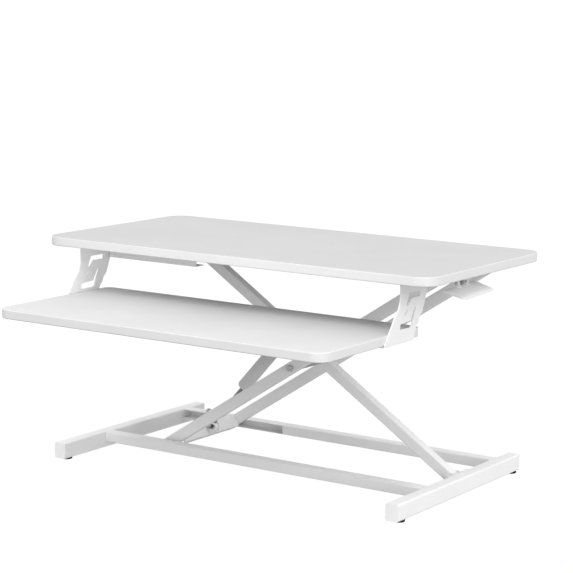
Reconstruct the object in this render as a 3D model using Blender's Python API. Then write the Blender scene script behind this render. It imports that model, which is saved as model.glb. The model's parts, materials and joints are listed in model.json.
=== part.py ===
"""Standing desk converter: an X-shaped scissor linkage lifts a desktop with a keyboard tray.

Metres, +Z up. +X is to the user's right, -Y towards the user, z = 0 under the rubber pads.
"""

import math

import bmesh
import bpy
from mathutils import Matrix, Vector
from mathutils.geometry import tessellate_polygon

# --- Driving dimensions -------------------------------------------------------------------

SHIFT_Y = 0.1121  # puts the middle of the whole object's depth on y = 0
GAP = 0.0003  # clearance between touching pieces

DESK_HALF_WIDTH = 0.475
DESK_FRONT = -0.2348
DESK_REAR = 0.2452
DESK_TOP = 0.4828
DESK_THICK = 0.0192
DESK_CORNER = 0.040

TRAY_HALF_WIDTH = 0.39375
TRAY_FRONT = -0.4795
TRAY_REAR = -0.1180
TRAY_TOP = 0.3658
TRAY_THICK = 0.0192
TRAY_FRONT_CORNER = 0.029
TRAY_REAR_CORNER = 0.019

FOOT_OUTER_X = 0.4298
FOOT_WIDTH = 0.0286
FOOT_BOTTOM = 0.0050
FOOT_TOP = 0.0393
FOOT_HALF_LENGTH = 0.2553
TUBE_WALL = 0.0018
CAP_FLANGE = 0.0025
CAP_PLUG = 0.0150
PAD_RADIUS = 0.0120
PAD_X = 0.4174
PAD_Y = {"front": -0.2300, "rear": 0.2400}

BAR_BOTTOM = 0.0178  # underside of both crossbars
CROSSBAR_FRONT = (-0.1170, -0.0894)
CROSSBAR_REAR = (0.1742, 0.2018)
TRACK_END_X = -0.1252  # the crossbars are open tracks to the left of this
BUTTON_AT = (-0.3400, 0.1880)  # x, y of the stop button on the rear crossbar

MIDDLE_Y = 0.0417  # plane of the inner arm and the gas spring
ARM_ANGLE = 0.5752  # slope of both arms at rest, in radians
CROSSING = (0.0615, 0.2352)  # x, z of the centre bolt at rest
PIVOT_Z = 0.0286  # height of the lower pivot and the lower axle
ARM_END = 0.0120  # how far a bar runs past its pivot
OUTER_BAR_FRONT = (-0.0808, -0.0608)
OUTER_BAR_REAR = (0.1441, 0.1641)
OUTER_BAR_HEIGHT = 0.0240
INNER_BAR_Y = (0.0306, 0.0526)
INNER_BAR_HEIGHT = 0.0233
BAR_WALL = 0.0020

AXLE_RADIUS = 0.0040
BOLT_RADIUS = 0.0050
BORE_PLAY = 0.0003
HEXAGON_RADIUS = 0.0074  # centre to corner of the centre bolt's head and nut
ROLLER_RADIUS = 0.00865
ROLLER_LENGTH = 0.0180

SPRING_LOW = (-0.2284, 0.0500)  # x, z of the gas spring's lower pin
SPRING_HIGH = (-0.0348, 0.2691)  # x, z of its upper pin
CYLINDER_RADIUS = 0.0145
CYLINDER_NEAR = 0.0240  # from the upper pin to the closed end
CYLINDER_FAR = 0.1620  # from the upper pin to the rod end
ROD_RADIUS = 0.0040
ROD_LENGTH = 0.1800

SHEET = 0.0025  # thickness of the folded brackets

# --- Derived ------------------------------------------------------------------------------

HALF_ARM = (CROSSING[1] - PIVOT_Z) / math.sin(ARM_ANGLE)
PIVOT_X = CROSSING[0] + HALF_ARM * math.cos(ARM_ANGLE)
SLIDER_X = CROSSING[0] - HALF_ARM * math.cos(ARM_ANGLE)
TOP_PIVOT_Z = 2 * CROSSING[1] - PIVOT_Z
DESK_UNDER = DESK_TOP - DESK_THICK
TRAY_UNDER = TRAY_TOP - TRAY_THICK
FOOT_INNER_X = FOOT_OUTER_X - FOOT_WIDTH
PLATE_TOP = DESK_UNDER - GAP  # upper face of everything screwed under the board
TRACK_HALF = (FOOT_TOP - BAR_BOTTOM) / 2

# --- Materials ----------------------------------------------------------------------------


def material(name, colour, roughness, metallic=0.0):
    made = bpy.data.materials.new(name)
    made.use_nodes = True
    shader = made.node_tree.nodes["Principled BSDF"]
    shader.inputs["Base Color"].default_value = (*colour, 1.0)
    shader.inputs["Roughness"].default_value = roughness
    shader.inputs["Metallic"].default_value = metallic
    return made


for old in list(bpy.data.objects):
    bpy.data.objects.remove(old, do_unlink=True)

LAMINATE = material("white_laminate", (0.83, 0.83, 0.82), 0.38)
POWDER = material("white_powder_coat", (0.80, 0.80, 0.80), 0.45)
PLASTIC = material("white_plastic", (0.78, 0.78, 0.77), 0.40)
NYLON = material("grey_nylon", (0.55, 0.55, 0.54), 0.50)
RUBBER = material("black_rubber", (0.02, 0.02, 0.02), 0.85)
STEEL = material("zinc_plated_steel", (0.62, 0.62, 0.60), 0.32, 1.0)
CHROME = material("hard_chromed_rod", (0.75, 0.75, 0.76), 0.12, 1.0)
CYLINDER_PAINT = material("cylinder_paint", (0.70, 0.70, 0.70), 0.35)

# --- Frames: each maps (a, b, n) to the object's space, shapes being drawn in a, b ---------


def frame(a, b, n, origin):
    made = Matrix((a, b, n)).transposed().to_4x4()
    made.translation = Vector(origin) + Vector((0, SHIFT_Y, 0))
    return made


X, Y, Z = Vector((1, 0, 0)), Vector((0, 1, 0)), Vector((0, 0, 1))
SIDE = frame(Y, Z, X, (0, 0, 0))  # drawn in y, z and extruded along x
FRONT = frame(X, Z, Y, (0, 0, 0))  # drawn in x, z and extruded along y
PLAN = frame(X, Y, Z, (0, 0, 0))  # drawn in x, y and extruded along z
OUTER_U = Vector((math.cos(ARM_ANGLE), 0, math.sin(ARM_ANGLE)))
OUTER_V = Vector((-math.sin(ARM_ANGLE), 0, math.cos(ARM_ANGLE)))
INNER_U = Vector((math.cos(ARM_ANGLE), 0, -math.sin(ARM_ANGLE)))
INNER_V = Vector((math.sin(ARM_ANGLE), 0, math.cos(ARM_ANGLE)))
OUTER = frame(OUTER_U, OUTER_V, Y, (SLIDER_X, 0, PIVOT_Z))  # along the outer arm, up from its axle
INNER = frame(INNER_U, INNER_V, Y, (SLIDER_X, 0, TOP_PIVOT_Z))  # along the inner arm, down

# --- Shapes -------------------------------------------------------------------------------


def finish(name, bm, paint, smooth=False):
    bmesh.ops.recalc_face_normals(bm, faces=bm.faces)
    mesh = bpy.data.meshes.new(name)
    bm.to_mesh(mesh)
    bm.free()
    made = bpy.data.objects.new(name, mesh)
    bpy.context.scene.collection.objects.link(made)
    if paint:
        mesh.materials.append(paint)
    if smooth:
        mesh.shade_smooth()
        mesh.set_sharp_from_angle(angle=math.radians(35))
    return made


def plate(name, outline, space, low, high, paint=None, holes=()):
    """A flat shape, with any holes, extruded from low to high along the frame's third axis."""
    loops = [outline, *holes]
    bm = bmesh.new()
    rings = []
    for level in (low, high):
        rings.append([[bm.verts.new(space @ Vector((*p, level))) for p in loop] for loop in loops])
    for ring in rings:
        if holes:
            flat = [v for loop in ring for v in loop]
            for triangle in tessellate_polygon([[Vector((*p, 0)) for p in loop] for loop in loops]):
                bm.faces.new([flat[i] for i in triangle])
        else:
            bm.faces.new(ring[0])
    for lower, upper in zip(*rings):
        for i in range(len(lower)):
            j = (i + 1) % len(lower)
            bm.faces.new((lower[i], lower[j], upper[j], upper[i]))
    return finish(name, bm, paint)


def lathe(name, profile, space, centre, paint=None, steps=16):
    """(radius, distance) points turned about the frame's third axis through centre.

    A profile that starts and ends on the axis is closed by it; any other is a closed ring.
    """
    bm = bmesh.new()
    rings = []
    for radius, level in profile:
        if radius == 0:
            rings.append([bm.verts.new(space @ Vector((*centre, level)))])
            continue
        ring = []
        for i in range(steps):
            turn = 2 * math.pi * i / steps
            at = (centre[0] + radius * math.cos(turn), centre[1] + radius * math.sin(turn), level)
            ring.append(bm.verts.new(space @ Vector(at)))
        rings.append(ring)
    pairs = list(zip(rings, rings[1:]))
    if len(rings[0]) > 1:
        pairs.append((rings[-1], rings[0]))
    for one, two in pairs:
        for i in range(steps):
            j = (i + 1) % steps
            corners = [one[i % len(one)], one[j % len(one)], two[j % len(two)], two[i % len(two)]]
            bm.faces.new(list(dict.fromkeys(corners)))
    return finish(name, bm, paint, smooth=True)


def rectangle(a_low, a_high, b_low, b_high):
    return [(a_low, b_low), (a_high, b_low), (a_high, b_high), (a_low, b_high)]


def arc(centre, radius, start, end, steps=6):
    """Points on an arc, its angles in degrees."""
    points = []
    for i in range(steps + 1):
        turn = math.radians(start + (end - start) * i / steps)
        points.append((centre[0] + radius * math.cos(turn), centre[1] + radius * math.sin(turn)))
    return points


def circle(centre, radius, steps=16):
    return arc(centre, radius, 0, 360, steps)[:-1]


def rounded(a_low, a_high, b_low, b_high, radius, steps=6, high_radius=None):
    """A rectangle with rounded corners; the two at b_high can have a radius of their own."""
    points = []
    corners = ((a_high, b_high, 0), (a_low, b_high, 90), (a_low, b_low, 180), (a_high, b_low, 270))
    for a, b, start in corners:
        bend = high_radius if high_radius and b == b_high else radius
        centre = (a - bend if a == a_high else a + bend, b - bend if b == b_high else b + bend)
        points += arc(centre, bend, start, start + 90, steps)
    return points


def slot(start, end, radius, steps=8):
    """The outline of a round-ended slot between two centres."""
    heading = math.degrees(math.atan2(end[1] - start[1], end[0] - start[0]))
    return arc(start, radius, heading + 90, heading + 270, steps) + arc(
        end, radius, heading - 90, heading + 90, steps
    )


def helper(made):
    """Hides a piece that only adds to or cuts another."""
    made.hide_render = True
    made.display_type = "WIRE"
    return made


def combine(base, others, operation):
    for other in others:
        step = base.modifiers.new(operation.lower(), "BOOLEAN")
        step.operation = operation
        step.solver = "EXACT"
        step.object = helper(other)
    return base


def add(base, *others):
    return combine(base, others, "UNION")


def cut(base, *others):
    return combine(base, others, "DIFFERENCE")


def drill(name, space, centre, radius, low, high, steps=18):
    """A round cutter along the frame's third axis."""
    return plate(name, circle(centre, radius, steps), space, low, high)


def ease(made, width, segments=2):
    """Rounds the sharp edges of a board."""
    bevel = made.modifiers.new("ease", "BEVEL")
    bevel.width = width
    bevel.segments = segments
    bevel.limit_method = "ANGLE"
    bevel.angle_limit = math.radians(40)
    return made


# --- Base ---------------------------------------------------------------------------------


def base():
    for side, sign in (("left", -1), ("right", 1)):
        inner, outer = sorted((sign * FOOT_INNER_X, sign * FOOT_OUTER_X))
        length = FOOT_HALF_LENGTH - CAP_FLANGE - GAP
        tube = plate(
            f"base_foot_{side}",
            rounded(inner, outer, FOOT_BOTTOM, FOOT_TOP, 0.0025, 2),
            FRONT,
            -length,
            length,
            POWDER,
            [
                rectangle(
                    inner + TUBE_WALL,
                    outer - TUBE_WALL,
                    FOOT_BOTTOM + TUBE_WALL,
                    FOOT_TOP - TUBE_WALL,
                )
            ],
        )
        for end, end_sign in (("front", -1), ("rear", 1)):
            foot_cap(side, end, inner, outer, end_sign)
            pad_at = (sign * PAD_X, PAD_Y[end])
            pad = lathe(
                f"foot_pad_{side}_{end}",
                [(0, 0), (PAD_RADIUS - 0.001, 0), (PAD_RADIUS, 0.001)]
                + [(PAD_RADIUS, FOOT_BOTTOM - GAP), (0, FOOT_BOTTOM - GAP)],
                PLAN,
                pad_at,
                RUBBER,
            )
            stud = drill("pad_stud", PLAN, pad_at, 0.0020, FOOT_BOTTOM - 0.001, FOOT_BOTTOM + 0.006, 12)
            add(pad, stud)
            hole_top = FOOT_BOTTOM + TUBE_WALL + 0.001
            cut(tube, drill("pad_hole", PLAN, pad_at, 0.0024, FOOT_BOTTOM - 0.001, hole_top, 12))
    for end, (near, far), open_side in (
        ("front", CROSSBAR_FRONT, 1),
        ("rear", CROSSBAR_REAR, -1),
    ):
        crossbar(end, near, far, open_side)
    base_hinge()


def foot_cap(side, end, inner, outer, sign):
    """A flange over the tube's end and a hollow plug inside it."""
    near, far = sorted((sign * (FOOT_HALF_LENGTH - CAP_FLANGE), sign * FOOT_HALF_LENGTH))
    flange = plate(
        f"foot_cap_{side}_{end}",
        rounded(inner, outer, FOOT_BOTTOM, FOOT_TOP, 0.0030, 3),
        FRONT,
        near,
        far,
        PLASTIC,
    )
    play = TUBE_WALL + GAP
    wall = 0.0018
    start, stop = sorted(
        (
            sign * (FOOT_HALF_LENGTH - CAP_FLANGE - CAP_PLUG),
            sign * (FOOT_HALF_LENGTH - CAP_FLANGE / 2),
        )
    )
    plug = plate(
        "cap_plug",
        rectangle(inner + play, outer - play, FOOT_BOTTOM + play, FOOT_TOP - play),
        FRONT,
        start,
        stop,
        holes=[
            rectangle(
                inner + play + wall,
                outer - play - wall,
                FOOT_BOTTOM + play + wall,
                FOOT_TOP - play - wall,
            )
        ],
    )
    add(flange, plug)
    stud_at = (math.copysign(PAD_X, inner), PAD_Y[end])
    cut(flange, drill("stud_way", PLAN, stud_at, 0.0050, FOOT_BOTTOM, FOOT_BOTTOM + 0.010, 12))


def crossbar(end, near, far, open_side):
    """A tube between the feet, cut open along the track on the side that faces the arms."""
    tube = plate(
        f"base_crossbar_{end}",
        rounded(near, far, BAR_BOTTOM, FOOT_TOP, 0.0020, 2),
        SIDE,
        -(FOOT_INNER_X - GAP),
        FOOT_INNER_X - GAP,
        POWDER,
        [rectangle(near + TUBE_WALL, far - TUBE_WALL, BAR_BOTTOM + TUBE_WALL, FOOT_TOP - TUBE_WALL)],
    )
    wall_at = far if open_side > 0 else near
    opening = plate(
        "track_opening",
        rectangle(
            wall_at - 2 * TUBE_WALL,
            wall_at + 2 * TUBE_WALL,
            BAR_BOTTOM + TUBE_WALL + 0.0001,
            FOOT_TOP - TUBE_WALL - 0.0001,
        ),
        SIDE,
        -FOOT_INNER_X - 0.010,
        TRACK_END_X,
    )
    cut(tube, opening)
    if end == "rear":
        cut(tube, drill("button_hole", PLAN, BUTTON_AT, 0.0033, FOOT_TOP - 0.0030, FOOT_TOP + 0.0030))
        stop_button()


def stop_button():
    """A domed steel button whose stub sits in the top wall of the rear crossbar."""
    base_z = FOOT_TOP + GAP
    profile = [
        (0, FOOT_TOP - 0.0014),
        (0.0030, FOOT_TOP - 0.0014),
        (0.0030, base_z),
        (0.0060, base_z),
        (0.0060, base_z + 0.0044),
        (0.0050, base_z + 0.0064),
        (0.0030, base_z + 0.0074),
        (0, base_z + 0.0074),
    ]
    lathe("track_stop_button", profile, PLAN, BUTTON_AT, STEEL)


def base_hinge():
    """A plate on the right foot's inner face with two ears that hold the inner arm's lower end."""
    back = FOOT_INNER_X - GAP
    bracket = plate(
        "base_hinge_bracket",
        rounded(MIDDLE_Y - 0.040, MIDDLE_Y + 0.040, 0.0100, 0.0385, 0.004, 3),
        SIDE,
        back - 0.0024,
        back,
        POWDER,
    )
    ear_outline = [(back - 0.001, PIVOT_Z - 0.0120)] + [(back - 0.001, PIVOT_Z + 0.0095)]
    ear_outline += arc((PIVOT_X, PIVOT_Z), 0.0095, 90, 270, 10)
    ear_outline += [(PIVOT_X + 0.006, PIVOT_Z - 0.0120)]
    ears = []
    for start in (INNER_BAR_Y[0] - 0.0035, INNER_BAR_Y[1] + 0.0005):
        ears.append(plate("ear", ear_outline, FRONT, start, start + 0.0030))
    add(bracket, *ears)
    bore = AXLE_RADIUS + BORE_PLAY
    cut(bracket, drill("bore", FRONT, (PIVOT_X, PIVOT_Z), bore, 0.0, 0.1))
    low = INNER_BAR_Y[0] - 0.0035 - GAP
    high = INNER_BAR_Y[1] + 0.0035 + GAP
    pin("base_hinge_pin", FRONT, (PIVOT_X, PIVOT_Z), low, high, 0.0065, 0.0028)


def pin(name, space, centre, low, high, head, head_depth, radius=AXLE_RADIUS):
    """A pin with a domed head beyond each of the two faces that it holds together."""
    rim = head - 0.001
    profile = [
        (0, low - head_depth),
        (rim, low - head_depth),
        (head, low - head_depth + 0.001),
        (head, low),
        (radius, low),
        (radius, high),
        (head, high),
        (head, high + head_depth - 0.001),
        (rim, high + head_depth),
        (0, high + head_depth),
    ]
    return lathe(name, profile, space, centre, STEEL)


# --- Scissor linkage ----------------------------------------------------------------------


def hollow_bar(name, space, height, sides):
    """A rectangular tube from pivot to pivot, running a little past both."""
    start, stop = -ARM_END, 2 * HALF_ARM + ARM_END
    half = height / 2
    bar = plate(
        name,
        rounded(sides[0], sides[1], -half, half, 0.0025, 2),
        frame(Y, space.col[1].xyz, space.col[0].xyz, (0, 0, 0)),
        0,
        stop - start,
        POWDER,
        [rectangle(sides[0] + BAR_WALL, sides[1] - BAR_WALL, -half + BAR_WALL, half - BAR_WALL)],
    )
    shift = space @ Vector((start, 0, 0)) - Vector((0, SHIFT_Y, 0))
    bar.data.transform(Matrix.Translation(shift))
    return bar


def outer_arm():
    full = 2 * HALF_ARM
    for end, sides in (("front", OUTER_BAR_FRONT), ("rear", OUTER_BAR_REAR)):
        bar = hollow_bar(f"outer_arm_bar_{end}", OUTER, OUTER_BAR_HEIGHT, sides)
        low, high = sides[0] - 0.01, sides[1] + 0.01
        cut(
            bar,
            drill("axle_bore", OUTER, (0, 0), AXLE_RADIUS + BORE_PLAY, low, high),
            drill("bolt_bore", OUTER, (HALF_ARM, 0), BOLT_RADIUS + BORE_PLAY, low, high),
            drill("pin_bore", OUTER, (full, 0), AXLE_RADIUS + BORE_PLAY, low, high),
        )
        pin(
            f"top_hinge_pin_{end}",
            OUTER,
            (full, 0),
            sides[0] - 0.0035 - GAP,
            sides[1] + 0.0035 + GAP,
            0.0065,
            0.0028,
        )
    axle("lower_axle", OUTER)
    cross_bracket()


def axle(name, space):
    """A plain rod from roller to roller, with a retaining shoulder beyond each roller."""
    low = CROSSBAR_FRONT[0] + TUBE_WALL + 0.0008
    high = CROSSBAR_REAR[1] - TUBE_WALL - 0.0008
    rim = 0.0055
    profile = [(0, low), (rim, low), (rim, low + 0.0012), (AXLE_RADIUS, low + 0.0012)]
    profile += [(AXLE_RADIUS, high - 0.0012), (rim, high - 0.0012), (rim, high), (0, high)]
    return lathe(name, profile, space, (0, 0), STEEL)


def cross_bracket():
    """A channel welded between the outer bars, its two ears slotted for the gas spring's pin."""
    low, high = OUTER_BAR_FRONT[1] + GAP, OUTER_BAR_REAR[0] - GAP
    web, back = 0.0299, 0.0120
    top, bottom = 0.0130, -0.0160
    channel_outline = [
        (back, top),
        (back, top - SHEET),
        (web - SHEET, top - SHEET),
        (web - SHEET, bottom + SHEET),
        (back, bottom + SHEET),
        (back, bottom),
        (web, bottom),
        (web, top),
    ]
    bracket = plate("outer_arm_cross_bracket", channel_outline, OUTER, low, high, POWDER)
    window = plate(
        "window",
        rectangle(back - 0.005, web + 0.005, bottom + SHEET + 0.0005, top + 0.005),
        OUTER,
        MIDDLE_Y - 0.0140,
        MIDDLE_Y + 0.0140,
    )
    cut(bracket, window)
    ear_outline = [
        (0.0140, bottom + 0.0002),
        (0.0460, bottom + 0.0002),
        (0.0525, -0.0080),
        (0.0535, -0.0030),
        (0.0515, 0.0012),
        (0.0335, 0.0145),
        (0.0265, 0.0170),
        (0.0200, 0.0150),
        (0.0140, 0.0060),
    ]
    ears = []
    for start in (MIDDLE_Y - 0.0080, MIDDLE_Y + 0.0050):
        ears.append(plate("clevis_ear", ear_outline, OUTER, start, start + 0.0030))
    add(bracket, *ears)
    travel = slot((0.0441, -0.0049), (0.0263, 0.0077), 0.0059)
    cut(bracket, plate("pin_slot", travel, OUTER, MIDDLE_Y - 0.012, MIDDLE_Y + 0.012))


def inner_arm():
    full = 2 * HALF_ARM
    tube = hollow_bar("inner_arm_tube", INNER, INNER_BAR_HEIGHT, INNER_BAR_Y)
    cut(
        tube,
        drill("axle_bore", INNER, (0, 0), AXLE_RADIUS + BORE_PLAY, 0, 0.1),
        drill("bolt_bore", INNER, (HALF_ARM, 0), BOLT_RADIUS + BORE_PLAY, 0, 0.1),
        drill("pin_bore", INNER, (full, 0), AXLE_RADIUS + BORE_PLAY, 0, 0.1),
    )
    axle("upper_axle", INNER)
    spans = (
        ("front", OUTER_BAR_FRONT[1] + GAP, INNER_BAR_Y[0] - GAP),
        ("rear", INNER_BAR_Y[1] + GAP, OUTER_BAR_REAR[0] - GAP),
    )
    bore = BOLT_RADIUS + BORE_PLAY
    for end, low, high in spans:
        ring = [(bore, low), (0.0090, low), (0.0090, high), (bore, high)]
        lathe(f"spacer_sleeve_{end}", ring, INNER, (HALF_ARM, 0), STEEL)


def centre_bolt():
    """A hexagon-headed bolt through both arms, with its nut behind the rear bar."""
    low = OUTER_BAR_FRONT[0] - GAP
    high = OUTER_BAR_REAR[1] + GAP
    shank = [
        (0, low - 0.0030),
        (BOLT_RADIUS, low - 0.0030),
        (BOLT_RADIUS, high + 0.0110),
        (BOLT_RADIUS - 0.001, high + 0.0120),
        (0, high + 0.0120),
    ]
    bolt = lathe("centre_bolt", shank, OUTER, (HALF_ARM, 0), STEEL)
    head = plate("hexagon", circle((HALF_ARM, 0), HEXAGON_RADIUS, 6), OUTER, low - 0.0064, low)
    add(bolt, head)
    hole = circle((HALF_ARM, 0), BOLT_RADIUS + BORE_PLAY)
    hexagon = circle((HALF_ARM, 0), HEXAGON_RADIUS, 6)
    plate("centre_nut", hexagon, OUTER, high, high + 0.0080, STEEL, [hole])


def rollers():
    """A plastic roller on each axle end, running inside its track."""
    front = CROSSBAR_FRONT[0] + TUBE_WALL + 0.0025
    rear = CROSSBAR_REAR[1] - TUBE_WALL - 0.0025 - ROLLER_LENGTH
    bore = AXLE_RADIUS + BORE_PLAY
    rim = ROLLER_RADIUS - 0.0008
    for level, space in (("lower", OUTER), ("upper", INNER)):
        for end, low in (("front", front), ("rear", rear)):
            high = low + ROLLER_LENGTH
            ring = [
                (bore, low),
                (rim, low),
                (ROLLER_RADIUS, low + 0.0008),
                (ROLLER_RADIUS, high - 0.0008),
                (rim, high),
                (bore, high),
            ]
            lathe(f"{level}_roller_{end}", ring, space, (0, 0), NYLON, 24)


# --- Gas spring ---------------------------------------------------------------------------


def gas_spring():
    low = Vector((SPRING_LOW[0], 0, SPRING_LOW[1]))
    high = Vector((SPRING_HIGH[0], 0, SPRING_HIGH[1]))
    along = (low - high).normalized()
    length = (low - high).length
    across = along.cross(Y)
    barrel = frame(Y, across, along, (high.x, MIDDLE_Y, high.z))  # third axis down the spring
    flat = frame(along, across, -Y, (high.x, MIDDLE_Y, high.z))  # drawn in the spring's own plane
    tongue = 0.0043
    eye = 0.0080
    bore = AXLE_RADIUS + BORE_PLAY
    inner = CYLINDER_RADIUS - 0.0015
    cylinder = lathe(
        "gas_cylinder",
        [
            (0, CYLINDER_NEAR),
            (CYLINDER_RADIUS - 0.001, CYLINDER_NEAR),
            (CYLINDER_RADIUS, CYLINDER_NEAR + 0.001),
            (CYLINDER_RADIUS, CYLINDER_FAR - 0.002),
            (CYLINDER_RADIUS - 0.002, CYLINDER_FAR),
            (ROD_RADIUS + BORE_PLAY, CYLINDER_FAR),
            (ROD_RADIUS + BORE_PLAY, CYLINDER_FAR - 0.008),
            (inner, CYLINDER_FAR - 0.008),
            (inner, CYLINDER_NEAR + 0.004),
            (0, CYLINDER_NEAR + 0.004),
        ],
        barrel,
        (0, 0),
        CYLINDER_PAINT,
        32,
    )
    eye_outline = arc((0, 0), eye, 60, 300, 16)
    eye_outline += [(CYLINDER_NEAR + 0.001, -0.0065), (CYLINDER_NEAR + 0.001, 0.0065)]
    add(cylinder, plate("eye", eye_outline, flat, -tongue, tongue))
    cut(cylinder, drill("eye_bore", flat, (0, 0), bore, -0.01, 0.01))
    tip = length - 0.0060
    rod = lathe(
        "gas_rod",
        [
            (0, length - ROD_LENGTH),
            (inner - 0.001, length - ROD_LENGTH),
            (inner - 0.001, length - ROD_LENGTH + 0.010),
            (ROD_RADIUS, length - ROD_LENGTH + 0.010),
            (ROD_RADIUS, tip),
            (0, tip),
        ],
        barrel,
        (0, 0),
        CHROME,
    )
    add(rod, plate("rod_eye", circle((length, 0), eye, 23), flat, -tongue, tongue))
    cut(rod, drill("eye_bore", flat, (length, 0), bore, -0.01, 0.01))
    pin("gas_lower_pin", flat, (length, 0), -0.0085, 0.0085, 0.0058, 0.0022)
    pin("gas_upper_pin", flat, (0, 0), -0.0079, 0.0079, 0.0058, 0.0022)
    gas_bracket()


def gas_bracket():
    """A U-shaped bracket under the inner arm, its two ears around the cylinder's eye."""
    relative = Vector((SPRING_HIGH[0] - SLIDER_X, 0, SPRING_HIGH[1] - TOP_PIVOT_Z))
    at = (relative.dot(INNER_U), relative.dot(INNER_V))
    top = -INNER_BAR_HEIGHT / 2 - GAP
    plate_outline = rectangle(at[0] - 0.0130, at[0] + 0.0220, top - SHEET, top)
    bracket = plate(
        "gas_upper_bracket", plate_outline, INNER, MIDDLE_Y - 0.0104, MIDDLE_Y + 0.0104, POWDER
    )
    ear_outline = [(at[0] + 0.0210, top - 0.001), (at[0] - 0.0120, top - 0.001)]
    ear_outline += arc(at, 0.0090, 180, 330, 10)
    ears = []
    for start in (MIDDLE_Y - 0.0076, MIDDLE_Y + 0.0046):
        ears.append(plate("bracket_ear", ear_outline, INNER, start, start + 0.0030))
    add(bracket, *ears)
    bore = drill("bore", INNER, at, AXLE_RADIUS + BORE_PLAY, MIDDLE_Y - 0.012, MIDDLE_Y + 0.012)
    cut(bracket, bore)


# --- Desktop, tray and what is fixed under the board --------------------------------------

TRACK_FROM = -0.3895
TRACK_TO = -0.1570
TRACK_SCREWS = (-0.3600, -0.1850)
FLANGE_REACH = 0.0180
HINGE_HALF = 0.0200
HINGE_FLANGE = 0.0150
SCREW_RADIUS = 0.0020
SCREW_HEAD = 0.0040
LEVER_AXIS = (0.4300, 0.4455)
LEVER_SPAN = (-0.0940, 0.0450)


def screw(name, x, y):
    """A pan-head wood screw driven up through a bracket into the board."""
    seat = PLATE_TOP - SHEET - GAP
    profile = [
        (0, seat - 0.0022),
        (SCREW_HEAD - 0.001, seat - 0.0022),
        (SCREW_HEAD, seat - 0.0012),
        (SCREW_HEAD, seat),
        (SCREW_RADIUS, seat),
        (SCREW_RADIUS, DESK_UNDER + 0.0080),
        (0, DESK_UNDER + 0.0100),
    ]
    lathe(name, profile, PLAN, (x, y), STEEL, 12)


def screw_hole(x, y):
    top = DESK_UNDER + 0.0110
    return drill("screw_hole", PLAN, (x, y), SCREW_RADIUS + BORE_PLAY, PLATE_TOP - 0.01, top, 12)


def boards(screws):
    desk = plate(
        "desktop",
        rounded(-DESK_HALF_WIDTH, DESK_HALF_WIDTH, DESK_FRONT, DESK_REAR, DESK_CORNER, 10),
        PLAN,
        DESK_UNDER,
        DESK_TOP,
        LAMINATE,
    )
    ease(desk, 0.0020)
    cut(desk, *[screw_hole(x, y) for x, y in screws])
    tray = plate(
        "keyboard_tray",
        rounded(
            -TRAY_HALF_WIDTH, TRAY_HALF_WIDTH, TRAY_FRONT, TRAY_REAR, TRAY_FRONT_CORNER, 8, TRAY_REAR_CORNER
        ),
        PLAN,
        TRAY_UNDER,
        TRAY_TOP,
        LAMINATE,
    )
    ease(tray, 0.0020)


def tray_brackets():
    """A slotted plate down each side of the tray, folded in under both boards."""
    inner = TRAY_HALF_WIDTH + 0.0007
    bottom = TRAY_UNDER - GAP - SHEET
    outline = [
        (-0.2075, PLATE_TOP),
        (-0.2075, 0.4270),
        (-0.2150, 0.4110),
        (-0.2304, 0.3945),
        (-0.2409, 0.3785),
        (-0.2533, 0.3628),
        (-0.2640, 0.3500),
        (-0.2650, bottom),
        (-0.1580, bottom),
        (-0.1537, 0.3500),
        (-0.1485, 0.3633),
        (-0.1432, 0.3724),
        (-0.1371, 0.3765),
        (-0.1320, 0.3890),
        (-0.1222, 0.3985),
        (-0.1175, 0.4086),
        (-0.1085, 0.4300),
        (-0.1030, 0.4420),
        (-0.1000, PLATE_TOP),
    ]
    upper_slot = [(-0.1325, 0.4392), (-0.1740, 0.4392), (-0.1815, 0.4270), (-0.1840, 0.4190)]
    upper_slot += [(-0.1815, 0.4155), (-0.1775, 0.4165), (-0.1742, 0.4201), (-0.1654, 0.4290)]
    upper_slot += [(-0.1325, 0.4290)]
    small_slot = [(-0.1835, 0.4075), (-0.1905, 0.3995), (-0.1880, 0.3975), (-0.1805, 0.4055)]
    lower_slot = [(-0.1465, 0.4100), (-0.1530, 0.4090), (-0.1680, 0.3850), (-0.2075, 0.3822)]
    lower_slot += [(-0.2075, 0.3715), (-0.1700, 0.3710), (-0.1630, 0.3740), (-0.1595, 0.3840)]
    for side, sign in (("left", -1), ("right", 1)):
        low, high = sorted((sign * inner, sign * (inner + SHEET)))
        holes = [upper_slot, small_slot, lower_slot]
        bracket = plate(f"tray_bracket_{side}", outline, SIDE, low, high, POWDER, holes)
        near, far = sorted((sign * (inner - 0.0200), sign * (inner + SHEET / 2)))
        top = plate("fold", rectangle(-0.2075, -0.1400, PLATE_TOP - SHEET, PLATE_TOP), SIDE, near, far)
        foot = plate("fold", rectangle(-0.2650, -0.1580, bottom, bottom + SHEET), SIDE, near, far)
        add(bracket, top, foot)


def top_tracks():
    """A folded channel for each upper roller, open towards the arms, with a screwed flange."""
    low, high = TOP_PIVOT_Z - TRACK_HALF, TOP_PIVOT_Z + TRACK_HALF
    wall = TUBE_WALL
    for end, outer, sign in (("front", CROSSBAR_FRONT[0], 1), ("rear", CROSSBAR_REAR[1], -1)):
        deep = outer + sign * (CROSSBAR_FRONT[1] - CROSSBAR_FRONT[0])
        flange = outer - sign * FLANGE_REACH
        back = outer + sign * wall
        outline = [
            (deep, low),
            (deep, low + wall),
            (back, low + wall),
            (back, high - wall),
            (deep, high - wall),
            (deep, high),
            (back, high),
            (back, PLATE_TOP),
            (flange, PLATE_TOP),
            (flange, PLATE_TOP - SHEET),
            (outer, PLATE_TOP - SHEET),
            (outer, low),
        ]
        track = plate(f"top_track_{end}", outline, SIDE, TRACK_FROM, TRACK_TO, POWDER)
        at = (outer + flange) / 2
        cut(track, *[screw_hole(x, at) for x in TRACK_SCREWS])
        for place, x in zip(("left", "right"), TRACK_SCREWS):
            screw(f"track_screw_{end}_{place}", x, at)


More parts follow.
